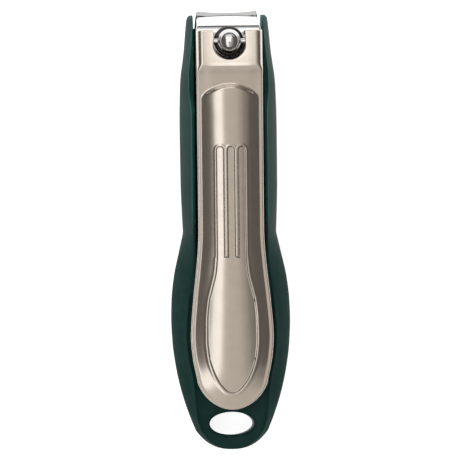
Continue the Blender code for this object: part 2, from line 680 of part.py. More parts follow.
def lever():
    """Pressed lever: a fork around the ball head, a stepped neck and a crowned handle."""
    stations = rounded_end(LEVER_TAIL_START_Y, LEVER_REAR_Y, 6)[::-1]
    stations += spaced(LEVER_TAIL_START_Y, LEVER_NECK_REAR_Y, 22)
    stations += LEVER_NECK_STATIONS
    stations.append(FORK_FRONT_Y)

    def bottom(x, y):
        return skirt_bottom(y)

    def hollow_half_width(y):
        return max(0.0, lever_half_width(min(y, FORK_FRONT_Y)) - LEVER_SHEET)

    def hollow_top(x, y):
        return lever_top(x, min(y, FORK_FRONT_Y)) - LEVER_SHEET

    def hollow_bottom(x, y):
        return skirt_bottom(y) - 1

    nickel = material("lever_satin_nickel", SATIN_NICKEL, 0.32, 1.0)
    made = object_from(
        "lever", field_solid(stations, lever_half_width, lever_top, bottom, 19), nickel,
        (0, POST_Y, PIN_Z),
    )
    inner = [y for y in stations if LEVER_REAR_Y + 1.4 < y < 43] + [FORK_FRONT_Y + 1]
    cut(made, field_solid(inner, hollow_half_width, hollow_top, hollow_bottom, 15))
    cut(made, prism(stadium(SLOT_HALF_WIDTH, SLOT_END_Y, 52), 10, 30))
    cut(made, cross_bore(CROSS_PIN_RADIUS + GAP, 9))


clear_scene()
casing_shell()
base_cover()
base_screws()
stop_pin()
lower_leaf()
upper_leaf()
rivets()
post()
washer("foot_washer", WASHER_RADIUS, WASHER_Z, material("foot_washer_steel", STEEL, 0.3, 1.0))
washer("post_collar", COLLAR_RADIUS, COLLAR_Z, material("collar_chrome", CHROME, 0.1, 1.0))
cross_pin()
lever()
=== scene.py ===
"""Looks of the toenail clipper: fine surfaces, materials, floor, light and camera.

The outlines below are the CAD model's, repeated here in millimetres. The frame's boxes give the
ends of the casing and the lever, the places of the post, the rivets and the lower leaf, and the
sizes of the ball, the cross pin, the collar and the washer.
"""
import math

import bmesh
import bpy
import numpy as np
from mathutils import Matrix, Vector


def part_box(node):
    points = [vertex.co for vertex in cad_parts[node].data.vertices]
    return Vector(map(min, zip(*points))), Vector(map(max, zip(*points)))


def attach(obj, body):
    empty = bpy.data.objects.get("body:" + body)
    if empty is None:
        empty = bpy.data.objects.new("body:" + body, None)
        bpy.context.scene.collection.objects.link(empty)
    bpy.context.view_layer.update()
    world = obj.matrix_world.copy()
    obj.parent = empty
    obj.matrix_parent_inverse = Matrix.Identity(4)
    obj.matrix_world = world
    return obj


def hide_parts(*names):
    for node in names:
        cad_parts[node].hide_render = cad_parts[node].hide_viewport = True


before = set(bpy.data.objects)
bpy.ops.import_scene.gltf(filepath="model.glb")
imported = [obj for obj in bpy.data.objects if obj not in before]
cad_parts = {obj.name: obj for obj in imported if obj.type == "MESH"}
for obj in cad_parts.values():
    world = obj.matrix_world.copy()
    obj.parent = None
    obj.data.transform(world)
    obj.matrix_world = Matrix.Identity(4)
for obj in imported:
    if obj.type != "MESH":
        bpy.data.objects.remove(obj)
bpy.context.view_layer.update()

MM = 0.001
MERGE_DISTANCE = 1e-7


def span(node, axis):
    """Lowest and highest place of a CAD node along an axis, in millimetres."""
    low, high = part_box(node)
    return low[axis] / MM, high[axis] / MM


# Casing
REAR_END_Y, WALL_TIP_Y = span("casing_shell", 1)
WAIST_Y = -0.45
FRONT_HALF_WIDTHS = [
    (WAIST_Y, 10.15), (3.0, 10.31), (10.9, 10.54), (22.6, 10.58), (31.7, 10.37),
    (39.1, 9.47), (43.5, 9.08), (46.2, 8.75), (WALL_TIP_Y, 8.25),
]
REAR_HALF_WIDTHS = [
    (-43.5, 7.9), (-40.0, 9.3), (-34.8, 10.94), (-29.6, 12.06), (-24.4, 12.73),
    (-19.2, 12.955), (-15.2, 12.84), (-10.0, 12.27), (-4.8, 11.14), (WAIST_Y, 10.15),
]
LOOP_CENTRE_Y = -30.0
LOOP_HALF_WIDTH = 11.4
LOOP_POWER = 0.42
LOOP_START_Y = -43.5
CREASE_HALF_WIDTHS = [
    (REAR_END_Y, 7.2), (-37.0, 8.0), (-32.0, 8.5), (-28.0, 9.4), (-23.0, 9.85), (-15.0, 9.3),
    (-9.0, 8.5), (-3.0, 8.15), (0.0, 8.2), (25.6, 8.2), (31.0, 8.7),
    (WALL_TIP_Y, 8.45),
]
CREASE_SHARE = 0.86
CREASE_HEIGHTS = [
    (REAR_END_Y, 9.8), (-40.0, 10.8), (-32.0, 11.9), (-20.0, 12.7), (0.0, 13.8), (25.6, 14.8),
    (27.0, 14.6), (30.3, 13.35), (31.5, 13.3), (40.0, 13.2),
    (WALL_TIP_Y, 12.6),
]
CASING_MID_Z = 9.0
CASING_BOTTOM_ROUND = 4.2
END_ROUND = 4.6
TIP_ROUND = 1.5
DISH_DEPTH = 0.9
WALL_LIP_DEPTH = 0.3
WALL_LIP_WIDTH = 0.5
BEAD_HEIGHT = 0.12
BEAD_WIDTH = 0.35
LUG_X = 7.75
LUG_Y = 2.2
LUG_HEIGHT = 0.22
LUG_SPREAD = 0.09
HOLE_Y = -42.1
HOLE_HALF_X = 4.85
HOLE_HALF_Y = 2.5
HOLE_RIM = 0.9
HOLE_SEGMENTS = 72
HOLE_RIM_STEPS = 8
CHANNEL_HALF_WIDTH = 7.55
RAIL_FRONT_Y = 44.0
PAST_FRONT_Y = 60
CHANNEL_REAR_Y = -13.5
TAIL_HALF_WIDTH = 4.6
TAIL_REAR_Y = -30.6
RAIL_HALF_WIDTH = 5.8
RAIL_TOP_Z = 4.1
LOWER_CHANNEL_REAR_Y = -28.0
FLOOR_Z = 1.6
COVER_FRONT_Y = 36.3
COVER_REAR_Y = -38.7
COVER_TOP_Z = 1.8
COVER_SIDE_GAP = 0.01

# Leaves, post and lever
LEAF_THICKNESS = 1.8
LEAF_ROUND = 0.25
RIVET_X = sum(span("rear_rivet_right", 0)) / 2
RIVET_Y = sum(span("rear_rivet_right", 1)) / 2
RIVET_BORE_RADIUS = 1.5
POST_BORE_RADIUS = 1.8
STOP_SLOT_RADIUS = 1.1
STOP_SLOT_FRONT_Y = -15.3
STOP_SLOT_REAR_Y = -27.5
POST_SLOT_RADIUS = 2
POST_SLOT_CENTRES_Y = (41.3, 40.8)
SEAT = [(0, -1.3), (2.1, -1.3), (3.3, -0.25), (3.3, 1), (0, 1)]
LOWER_LEAF_WIDTHS = [(-30, 4.2), (-13.1, 4.2), (-12.8, 7.0), (42.0, 7.0), (45.5, 6.8), (47.3, 6.5)]
LOWER_JAW_TOP = [
    (43.6, 0.1), (44.6, 0.4), (45.5, 0.95), (46.1, 1.45), (46.4, 1.55), (46.8, 1.34), (47.3, 1.07),
]
LOWER_JAW_BOTTOM = [
    (43.6, 0.1), (44.8, 0.45), (45.8, 1.1), (46.5, 1.75), (47.0, 2.35), (47.15, 2.55), (47.28, 2.7),
]
UPPER_LEAF_WIDTHS = [
    (-13, 6.3), (32.0, 6.3), (38.0, 7.0), (43.9, 7.0), (44.3, 6.85), (45.7, 6.8), (46.1, 6.6),
    (46.3, 6.1),
]
UPPER_LEAF_REAR_Z = 7.4
UPPER_LEAF_RISE = 6.7
UPPER_JAW_TOP = [
    (43.3, 0.03), (43.6, 0.0), (43.9, -0.12), (44.2, -0.33), (44.5, -0.6), (45.1, -1.45),
    (45.8, -2.44), (46.2, -3.0), (46.37, -3.15),
]
UPPER_JAW_BOTTOM = [
    (43.2, -1.83), (43.5, -1.9), (43.8, -2.0), (44.1, -2.2), (44.4, -2.3), (45.2, -2.8),
    (45.8, -3.12), (46.1, -3.28), (46.32, -3.36),
]
JAW_REAR_Y = 42.9
JAW_HALF_WIDTH = 6.4
JAW_BOW_REAR_Y = 44.5
LOWER_JAW_BOW = 0.4
UPPER_JAW_BOW = 0.3
POST_Y = sum(span("post", 1)) / 2
PIN_Z = sum(span("cross_pin", 2)) / 2
PIN_BORE_RADIUS = 0.85
BALL_RADIUS = span("post", 0)[1]
SHANK_RADIUS = 1.45
POST_FOOT_Z = span("post", 2)[0]
POST_FOOT = [(0, 0.0), (2.1, 0.0), (2.45, 0.1), (2.6, 0.35), (2.6, 1.0), (2.45, 1.2), (SHANK_RADIUS, 1.2)]
RING_BORE_RADIUS = 1.75
SMALL_ROUND = 0.15
LEVER_REAR_Y, FORK_FRONT_Y = span("lever", 1)
SLOT_HALF_WIDTH = 3.43
SLOT_END_Y = 37.05
SLOT_RIM = 0.4
LEVER_SHEET = 1.0
LEVER_HALF_WIDTHS = [
    (-33.0, 7.6), (-27.3, 8.68), (-23.3, 8.99), (-15.2, 8.43), (-9.1, 7.76), (-3.2, 7.24),
    (0.0, 7.12), (26.0, 7.14), (FORK_FRONT_Y, 7.17),
]
LEVER_TAIL_START_Y = -33.0
LEVER_TAIL_CENTRE_Y = -28.6
LEVER_TAIL_HALF_WIDTH = 8.37
LEVER_TAIL_POWER = 2.1
SKIRT_BOTTOMS = [(LEVER_REAR_Y, 12.5), (FORK_FRONT_Y, 16.8)]
SKIRT_HEIGHTS = [
    (LEVER_REAR_Y, 1.5), (-30.0, 1.9), (27.0, 1.95), (31.0, 2.12), (32.6, 2.3), (33.6, 2.6),
    (34.5, 3.0), (35.1, 3.26), (35.5, 3.32), (36.3, 3.24), (FORK_FRONT_Y, 2.45),
]
CROWN_HEIGHTS = [
    (LEVER_REAR_Y, 0.0), (-36.0, 0.15), (-32.0, 0.9), (-27.0, 1.8), (-20.0, 2.1), (-8.0, 1.85),
    (24.0, 1.75), (29.0, 1.68), (FORK_FRONT_Y, 1.6),
]
RIM_WIDTH = 0.85
RIM_BEND = 0.35
FORK_EDGE_ROUND = 0.35
FORK_BEND = 1.5
FORK_REAR_Y = 34.3
CROWN_FRONT_Y = 31.9
CROWN_FRONT_BOW = 0.063
CROWN_FRONT_LENGTH = 1.1
CROWN_POWER = 2.4
CROWN_SHOULDER = 1.15
PANEL_HEIGHT = 0.08
PANEL_HALF_WIDTH = 6.0
PANEL_SIDE_LENGTH = 2.2
PANEL_FRONT_Y = 36.5
THUMB_HALF_WIDTHS = [
    (-35.4, 0.0), (-35.3, 0.65), (-35.1, 1.08), (-34.8, 1.5), (-34.3, 1.98), (-33.7, 2.48),
    (-32.9, 3.05), (-31.8, 3.65), (-30.7, 4.12), (-28.7, 4.8), (-27.0, 5.12), (-23.9, 5.4),
    (-19.6, 5.35), (-15.2, 4.9), (-13.0, 4.35), (-9.0, 3.4), (-5.9, 3.12),
]
THUMB_TIP_LENGTH = 1.9
FINGER_TOP_Y = 18.1
FINGER_RADIUS = 0.76
FINGER_CENTRES = (-2.36, 0.0, 2.36)
RIB_END_Y = -5.9
STEP_DEPTH = 0.30
STEP_WIDTH = 0.26
LIP_HEIGHT = 0.07
LIP_WIDTH = 0.3
FINGER_LIP_WIDTH = 0.2
LIP_GAP = 0.12
LEVER_SHARP_ANGLE = 62.0

# Materials: where the painted edge highlight fades in along Y, in metres, and the scale of the colour
# patches
EDGE_HIGHLIGHT_REAR_Y = 0.0
EDGE_HIGHLIGHT_FRONT_Y = 0.004
PATCH_SCALE = 400.0

# Studio
STAGE_HALF_SIZE = 3000
STAGE_Z = -0.05
FLOOR_GLOW = 0.86
WORLD_GLOW = 0.13
WARM = (1.0, 0.93, 0.85)
NEUTRAL = (1.0, 1.0, 1.0)
PANELS = {
    "wide_panel": ((0.0, -0.4, 1.02), (1.9, 2.8), 0.16, WARM),
    "middle_panel": ((0.0, -0.4, 1.01), (1.1, 2.6), 0.18, WARM),
    "overhead_panel": ((0.0, -0.4, 1.0), (0.6, 2.4), 0.16, WARM),
    "left_panel": ((-0.415, -0.4, 0.98), (0.47, 2.4), 0.95, NEUTRAL),
    "near_panel": ((0.0012, 0.0443, 0.042), (0.0104, 0.0115), 0.95, NEUTRAL),
    "ball_panel": ((-0.004, 0.064, 0.042), (0.034, 0.024), 0.95, NEUTRAL),
    "front_panel": ((0.0, 0.19, 0.08), (0.24, 0.115), 0.6, NEUTRAL),
}
PICTURE_WIDTH = 0.10005
LENS = 1000.0
SENSOR = 36.0
AIM = (0.0, 0.0, 0.011)
CAMERA_TILT = 3.0
CAMERA_ROLL = -0.75


def curve_through(points):
    """A smooth function through the points that never overshoots them; it takes arrays."""
    xs = np.array([point[0] for point in points], float)
    ys = np.array([point[1] for point in points], float)
    widths = np.diff(xs)
    steps = np.diff(ys) / widths
    slopes = np.zeros(len(xs))
    slopes[0], slopes[-1] = steps[0], steps[-1]
    for i in range(1, len(xs) - 1):
        before, after = steps[i - 1], steps[i]
        if before * after > 0:
            slopes[i] = 2 * before * after / (before + after)

    def value(x):
        x = np.clip(np.asarray(x, float), xs[0], xs[-1])
        i = np.clip(np.searchsorted(xs, x, side="right") - 1, 0, len(xs) - 2)
        t = (x - xs[i]) / widths[i]
        level = ys[i] * (1 + 2 * t) * (1 - t) ** 2 + ys[i + 1] * t * t * (3 - 2 * t)
        return level + widths[i] * (slopes[i] * t * (1 - t) ** 2 + slopes[i + 1] * t * t * (t - 1))

    return value


def smooth(share):
    """Smooth ramp from 0 to 1."""
    share = np.clip(share, 0.0, 1.0)
    return share * share * (3 - 2 * share)


def new_object(name, vertices, faces, finish, angle=40.0):
    """Mesh object from points in millimetres; doubles are merged and normals made consistent."""
    mesh = bpy.data.meshes.new(name)
    mesh.from_pydata([tuple(float(c) * MM for c in point) for point in vertices], [], faces)
    builder = bmesh.new()
    builder.from_mesh(mesh)
    bmesh.ops.remove_doubles(builder, verts=builder.verts, dist=MERGE_DISTANCE)
    bmesh.ops.dissolve_degenerate(builder, edges=builder.edges, dist=1e-8)
    bmesh.ops.recalc_face_normals(builder, faces=builder.faces)
    builder.to_mesh(mesh)
    builder.free()
    mesh.materials.append(finish)
    mesh.shade_smooth()
    mesh.set_sharp_from_angle(angle=math.radians(angle))
    made = bpy.data.objects.new(name, mesh)
    bpy.context.collection.objects.link(made)
    return made


def grid_faces(rows, columns, start=0, flip=False):
    """Quads of a grid of points stored row by row."""
    faces = []
    for i in range(rows - 1):
        for j in range(columns - 1):
            a = start + i * columns + j
            quad = (a, a + 1, a + columns + 1, a + columns)
            faces.append(quad[::-1] if flip else quad)
    return faces


def closed_between(name, tops, bottoms, finish, angle=40.0, pointed=False):
    """Closed mesh between two grids of points (rows, columns, 3) of the same size.

    In a pointed pair the first row of each grid is folded onto one upright line, and needs no wall.
    """
    rows, columns = tops.shape[:2]
    count = rows * columns
    vertices = np.concatenate([tops.reshape(-1, 3), bottoms.reshape(-1, 3)])
    faces = grid_faces(rows, columns) + grid_faces(rows, columns, count, True)
    rim = [(i, 0) for i in range(rows)]
    rim += [(rows - 1, j) for j in range(1, columns)]
    rim += [(i, columns - 1) for i in range(rows - 2, -1, -1)]
    if not pointed:
        rim += [(0, j) for j in range(columns - 2, -1, -1)]
    order = [i * columns + j for i, j in rim]
    for a, b in zip(order, order[1:]):
        faces.append((a, b, b + count, a + count))
    return new_object(name, vertices, faces, finish, angle)


def turned(name, profile, finish, centre=(0.0, 0.0), segments=64, ring=False):
    """Object turned about a vertical axis from (radius, z) points; a ring's last point joins its first."""
    vertices = []
    faces = []
    for radius, z in profile:
        for k in range(segments):
            turn = 2 * math.pi * k / segments
            x = centre[0] + radius * math.cos(turn)
            y = centre[1] + radius * math.sin(turn)
            vertices.append((x, y, z))
    rows = len(profile)
    for i in range(rows if ring else rows - 1):
        for k in range(segments):
            other = (k + 1) % segments
            below, above = i * segments, ((i + 1) % rows) * segments
            faces.append((below + k, below + other, above + other, above + k))
    return new_object(name, vertices, faces, finish, 35.0)


def apply_cut(target, cutter, angle=40.0):
    """Cut one mesh out of another and throw the cutter away."""
    modifier = target.modifiers.new("cut", "BOOLEAN")
    modifier.operation = "DIFFERENCE"
    modifier.solver = "EXACT"
    modifier.object = cutter
    bpy.context.view_layer.update()
    graph = bpy.context.evaluated_depsgraph_get()
    mesh = bpy.data.meshes.new_from_object(target.evaluated_get(graph))
    target.modifiers.clear()
    target.data = mesh
    bpy.data.objects.remove(cutter, do_unlink=True)
    mesh.set_sharp_from_angle(angle=math.radians(angle))


def box(name, low, high, finish):
    """Plain box cutter."""
    corners = [(x, y, z) for x in (low[0], high[0]) for y in (low[1], high[1]) for z in (low[2], high[2])]
    faces = [(0, 1, 3, 2), (4, 6, 7, 5), (0, 4, 5, 1), (2, 3, 7, 6), (0, 2, 6, 4), (1, 5, 7, 3)]
    return new_object(name, corners, faces, finish)


def loft_outline(name, outlines, finish):
    """Closed mesh through plan outlines at rising heights: a list of (points, z)."""
    count = len(outlines[0][0])
    vertices = [(x, y, z) for points, z in outlines for x, y in points]
    faces = []
    for level in range(len(outlines) - 1):
        for k in range(count):
            other = (k + 1) % count
            low, high = level * count, (level + 1) * count
            faces.append((low + k, low + other, high + other, high + k))
    faces.append(tuple(range(count))[::-1])
    top = (len(outlines) - 1) * count
    faces.append(tuple(top + k for k in range(count)))
    return new_object(name, vertices, faces, finish)


def rounded_slot(radius, front, rear):
    """Plan outline of a slot along Y, given the centres of its two round ends."""
    points = [(radius * math.cos(t), front + radius * math.sin(t)) for t in np.linspace(0, math.pi, 17)]
    turns = np.linspace(math.pi, 2 * math.pi, 17)
    return points + [(radius * math.cos(t), rear + radius * math.sin(t)) for t in turns]


# ---------------------------------------------------------------- materials

def noise(tree, scale, detail, stretch=(1, 1, 1)):
    """Noise over the object's own coordinates, in metres."""
    nodes, links = tree.nodes, tree.links
    place = nodes.new("ShaderNodeTexCoord")
    mapping = nodes.new("ShaderNodeMapping")
    mapping.inputs["Scale"].default_value = stretch
    texture = nodes.new("ShaderNodeTexNoise")
    texture.inputs["Scale"].default_value = scale
    texture.inputs["Detail"].default_value = detail
    links.new(place.outputs["Object"], mapping.inputs["Vector"])
    links.new(mapping.outputs["Vector"], texture.inputs["Vector"])
    return texture.outputs["Fac"]


def ramp(tree, factor, low, high, first, last):
    """Map a factor between two values, or two colours, with a colour ramp."""
    node = tree.nodes.new("ShaderNodeValToRGB")
    for stop, place, value in zip(node.color_ramp.elements, (low, high), (first, last)):
        stop.position = place
        stop.color = (*value, 1.0) if isinstance(value, tuple) else (value, value, value, 1.0)
    tree.links.new(factor, node.inputs["Fac"])
    return node.outputs["Color"]


def surface(name, colours, roughness, metallic, grain, bump, depth, stretch=(1, 1, 1), ior=1.5):
    """Procedural material: patchy colour, varied roughness and a fine grain."""
    made = bpy.data.materials.new(name)
    made.use_nodes = True
    tree = made.node_tree
    shader = tree.nodes["Principled BSDF"]
    shader.inputs["Metallic"].default_value = metallic
    shader.inputs["IOR"].default_value = ior
    patches = noise(tree, PATCH_SCALE, 4.0)
    tree.links.new(ramp(tree, patches, 0.3, 0.7, colours[0], colours[1]), shader.inputs["Base Color"])
    fine = noise(tree, grain, 2.0, stretch)
    tree.links.new(ramp(tree, fine, 0.25, 0.75, roughness[0], roughness[1]), shader.inputs["Roughness"])
    relief = tree.nodes.new("ShaderNodeBump")
    relief.inputs["Strength"].default_value = bump
    relief.inputs["Distance"].default_value = depth
    tree.links.new(fine, relief.inputs["Height"])
    tree.links.new(relief.outputs["Normal"], shader.inputs["Normal"])
    return made


def paint_edge_highlight(made, tint, low, high):
    """Painted highlight: a brighter colour painted along the convex edges, forward of the waist, for the
    light that the creases catch.
    """
    tree = made.node_tree
    shader = tree.nodes["Principled BSDF"]
    plain = shader.inputs["Base Color"].links[0].from_socket
    geometry = tree.nodes.new("ShaderNodeNewGeometry")
    edge = ramp(tree, geometry.outputs["Pointiness"], low, high, 0.0, 1.0)
    place = tree.nodes.new("ShaderNodeTexCoord")
    split = tree.nodes.new("ShaderNodeSeparateXYZ")
    tree.links.new(place.outputs["Object"], split.inputs[0])
    forward = ramp(tree, split.outputs["Y"], EDGE_HIGHLIGHT_REAR_Y, EDGE_HIGHLIGHT_FRONT_Y, 0.0, 1.0)
    both = tree.nodes.new("ShaderNodeMath")
    both.operation = "MULTIPLY"
    tree.links.new(edge, both.inputs[0])
    tree.links.new(forward, both.inputs[1])
    mix = tree.nodes.new("ShaderNodeMix")
    mix.data_type = "RGBA"
    tree.links.new(both.outputs[0], mix.inputs[0])
    tree.links.new(plain, mix.inputs[6])
    mix.inputs[7].default_value = (*tint, 1.0)
    tree.links.new(mix.outputs[2], shader.inputs["Base Color"])


casing_green = surface(
    "casing_green", ((0.013, 0.052, 0.048), (0.018, 0.063, 0.058)), (0.44, 0.54), 0.0, 9000.0,
    bump=0.15, depth=0.00002, ior=1.17,
)
# Painted highlight: a brighter teal painted along the casing's crease lines
paint_edge_highlight(casing_green, (0.020, 0.150, 0.125), 0.505, 0.54)
cover_green = surface(
    "cover_green", ((0.012, 0.038, 0.036), (0.016, 0.046, 0.043)), (0.48, 0.62), 0.0, 7000.0,
    bump=0.3, depth=0.00003,
)
satin_nickel = surface(
    "satin_nickel", ((0.66, 0.61, 0.55), (0.70, 0.65, 0.59)), (0.20, 0.24), 1.0, 9000.0,
    stretch=(1.0, 0.12, 1.0), bump=0.012, depth=0.00001,
)
leaf_chrome = surface(
    "leaf_chrome", ((0.74, 0.75, 0.76), (0.80, 0.81, 0.82)), (0.07, 0.16), 1.0, 6000.0,
    stretch=(0.2, 1.0, 1.0), bump=0.05, depth=0.00001,
)
post_chrome = surface(
    "post_chrome", ((0.60, 0.61, 0.62), (0.66, 0.67, 0.68)), (0.03, 0.06), 1.0, 3000.0,
    bump=0.02, depth=0.00001,
)
plain_steel = surface(
    "plain_steel", ((0.50, 0.51, 0.52), (0.58, 0.59, 0.60)), (0.22, 0.38), 1.0, 7000.0,
    bump=0.10, depth=0.00001,
)
# Near-black steel for the collar: painted shade for the dark hollow round the ball under the fork
painted_shade_steel = surface(
    "painted_shade_steel", ((0.030, 0.029, 0.028), (0.050, 0.048, 0.046)), (0.16, 0.28), 1.0, 6000.0,
    bump=0.05, depth=0.00001,
)

# ---------------------------------------------------------------- casing

front_half_width = curve_through(FRONT_HALF_WIDTHS)
rear_half_width = curve_through(REAR_HALF_WIDTHS)
crease_half_width = curve_through(CREASE_HALF_WIDTHS)
crease_height = curve_through(CREASE_HEIGHTS)


def casing_half_width(y):
    """Half-width of the casing's outline."""
    share = (LOOP_CENTRE_Y - y) / (LOOP_CENTRE_Y - REAR_END_Y)
    loop = LOOP_HALF_WIDTH * np.clip(1 - share * share, 0, None) ** LOOP_POWER
    return np.where(y > WAIST_Y, front_half_width(y), np.where(y > LOOP_START_Y, rear_half_width(y), loop))


def end_share(y):
    """Share of the full height that is left where the rear end rounds off."""
    depth = np.clip((REAR_END_Y + END_ROUND - y) / END_ROUND, 0, 1)
    return np.sqrt(1 - depth ** 2)


def casing_crest(y):
    """Height of the crease, rounded down at the wall tips."""
    past = np.clip(y - (WALL_TIP_Y - TIP_ROUND), 0, TIP_ROUND)
    return crease_height(y) - (TIP_ROUND - np.sqrt(TIP_ROUND ** 2 - past ** 2))


def casing_top(x, y):
    """Top face: a dish inside the crease, and a rounded flank outside it."""
    crest = casing_crest(y)
    outer = casing_half_width(y)
    crease = np.minimum(crease_half_width(y), outer * CREASE_SHARE)
    opening = np.clip((y - REAR_END_Y) / END_ROUND - 0.4, 0, 1)
    hollow = np.where(y < CHANNEL_REAR_Y, DISH_DEPTH, 0.0) * opening
    inside = crest - hollow * (1 - np.clip(np.abs(x) / np.maximum(crease, 1e-6), 0, 1) ** 8)
    share = np.clip((np.abs(x) - crease) / np.maximum(outer - crease, 1e-6), 0, 1)
    flank = CASING_MID_Z + (crest - CASING_MID_Z) * np.clip(1 - share ** 1.05, 0, None) ** 0.8
    height = np.where(np.abs(x) <= crease, inside, flank)
    edge = np.abs(x) - CHANNEL_HALF_WIDTH
    lip = WALL_LIP_DEPTH * np.clip(1 - edge / WALL_LIP_WIDTH, 0, 1) ** 2
    lip = np.where(y > CHANNEL_REAR_Y, lip, 0.0)
    lug = LUG_HEIGHT * np.exp(-((np.abs(x) - LUG_X) ** 2 + (y - LUG_Y) ** 2) / LUG_SPREAD)
    bead = BEAD_HEIGHT * np.exp(-((np.abs(x) - crease) / BEAD_WIDTH) ** 2)
    height = height - lip + lug + bead * smooth((CHANNEL_REAR_Y - y) / 4)
    return CASING_MID_Z + (height - CASING_MID_Z) * end_share(y)


def casing_bottom(x, y):
    """Underside: flat in the middle and rounded up to the widest line."""
    outer = casing_half_width(y)
    flat = np.clip(outer - CASING_BOTTOM_ROUND, 0, None)
    share = np.clip((np.abs(x) - flat) / np.maximum(outer - flat, 1e-6), 0, 1)
    height = CASING_MID_Z * (1 - np.sqrt(1 - share ** 2))
    return CASING_MID_Z + (height - CASING_MID_Z) * end_share(y)


def half_row(y):
    """Points across one half of the casing, dense at the channel's edge and the crease."""
    outer = casing_half_width(y)
    crease = min(float(crease_half_width(y)), outer * CREASE_SHARE)
    edge = min(CHANNEL_HALF_WIDTH, crease * 0.93)
    inner = np.linspace(0, edge * 0.97, 7)[:-1]
    shelf = np.linspace(edge * 0.97, crease, 11)[:-1]
    flank = crease + (outer - crease) * np.sin(np.linspace(0, math.pi / 2, 18))
    return np.concatenate([inner, shelf, flank])


def casing_skin():
    """The moulded casing at full detail."""
    rear = REAR_END_Y + (1 - np.cos(np.linspace(0, math.pi / 2, 22))) * (LOOP_START_Y - REAR_END_Y)
    tip_start = WALL_TIP_Y - TIP_ROUND
    middle = np.linspace(LOOP_START_Y, tip_start, 190)[1:]
    tip = tip_start + TIP_ROUND * np.sin(np.linspace(0, math.pi / 2, 9))[1:]
    ys = np.concatenate([rear, middle, tip])
    rows = []
    for y in ys:
        half = half_row(y)
        rows.append(np.concatenate([-half[:0:-1], half]))
    xs = np.array(rows)
    grid_y = np.repeat(ys[:, None], xs.shape[1], axis=1)
    tops = np.stack([xs, grid_y, casing_top(xs, grid_y)], axis=2)
    bottoms = np.stack([xs, grid_y, casing_bottom(xs, grid_y)], axis=2)
    skin = closed_between("casing_skin", tops, bottoms, casing_green, 32.0)
    plan = [
        (CHANNEL_HALF_WIDTH, CHANNEL_REAR_Y), (CHANNEL_HALF_WIDTH, PAST_FRONT_Y),
        (-CHANNEL_HALF_WIDTH, PAST_FRONT_Y), (-CHANNEL_HALF_WIDTH, CHANNEL_REAR_Y),
        (-TAIL_HALF_WIDTH, CHANNEL_REAR_Y), (-TAIL_HALF_WIDTH, TAIL_REAR_Y),
        (TAIL_HALF_WIDTH, TAIL_REAR_Y), (TAIL_HALF_WIDTH, CHANNEL_REAR_Y),
    ]
    apply_cut(skin, loft_outline("channel", [(plan, RAIL_TOP_Z), (plan, 30)], casing_green))
    cover_half = RAIL_HALF_WIDTH + COVER_SIDE_GAP
    for name, half, rear, front, low, high in (
        ("slot", RAIL_HALF_WIDTH, LOWER_CHANNEL_REAR_Y, PAST_FRONT_Y + 1, FLOOR_Z, RAIL_TOP_Z + 1),
        ("rebate", cover_half, COVER_REAR_Y, COVER_FRONT_Y, -1, COVER_TOP_Z),
        ("front", CHANNEL_HALF_WIDTH, RAIL_FRONT_Y, PAST_FRONT_Y + 1, -1, RAIL_TOP_Z + 1),
    ):
        apply_cut(skin, box(name, (-half, rear, low), (half, front, high), casing_green))
    apply_cut(skin, loft_outline("hole", hole_outlines(), casing_green))
    return skin


def hole_outlines():
    """Outlines of the loop's hole, flared at both faces so that its rims are rounded."""
    top = float(casing_top(np.array(0.0), np.array(HOLE_Y)))
    turns = [2 * math.pi * k / HOLE_SEGMENTS for k in range(HOLE_SEGMENTS)]
    angles = [math.pi / 2 * k / HOLE_RIM_STEPS for k in range(HOLE_RIM_STEPS + 1)]

    def oval(spread):
        half_x, half_y = HOLE_HALF_X + spread, HOLE_HALF_Y + spread
        return [(half_x * math.cos(t), HOLE_Y + half_y * math.sin(t)) for t in turns]

    outlines = []
    for angle in angles:
        outlines.append((oval(HOLE_RIM * (1 - math.sin(angle))), HOLE_RIM * (1 - math.cos(angle)) - 0.02))
    for angle in angles:
        z = top - HOLE_RIM * (1 - math.sin(angle)) + 0.05
        outlines.append((oval(HOLE_RIM * (1 - math.cos(angle))), z))
    outlines.append((oval(HOLE_RIM), top + 3))
    return outlines


# ---------------------------------------------------------------- lever

lever_body_half_width = curve_through(LEVER_HALF_WIDTHS)
skirt_bottom = curve_through(SKIRT_BOTTOMS)
skirt_height = curve_through(SKIRT_HEIGHTS)
crown_height = curve_through(CROWN_HEIGHTS)
thumb_half_width = curve_through(THUMB_HALF_WIDTHS)


def lever_half_width(y, inset=0.0):
    """Half-width of the lever's outline, or of the outline moved in by a distance."""
    share = np.clip((LEVER_TAIL_CENTRE_Y - y) / (LEVER_TAIL_CENTRE_Y - LEVER_REAR_Y - inset), 0, 1)
    tail = (LEVER_TAIL_HALF_WIDTH - inset) * np.sqrt(np.clip(1 - share ** LEVER_TAIL_POWER, 0, None))
    return np.where(y > LEVER_TAIL_START_Y, lever_body_half_width(y) - inset, tail)


def thumb_outline():
    """Right half of the teardrop's outline, from its tip to the ribs, then to the middle."""
    tip = THUMB_HALF_WIDTHS[0][0]
    near = np.linspace(tip, tip + THUMB_TIP_LENGTH, 30)
    ys = np.concatenate([near, np.linspace(near[-1] + 0.2, RIB_END_Y, 70)])
    points = [(float(thumb_half_width(y)), float(y)) for y in ys]
    return np.array(points + [(0.0, RIB_END_Y)])


THUMB = thumb_outline()


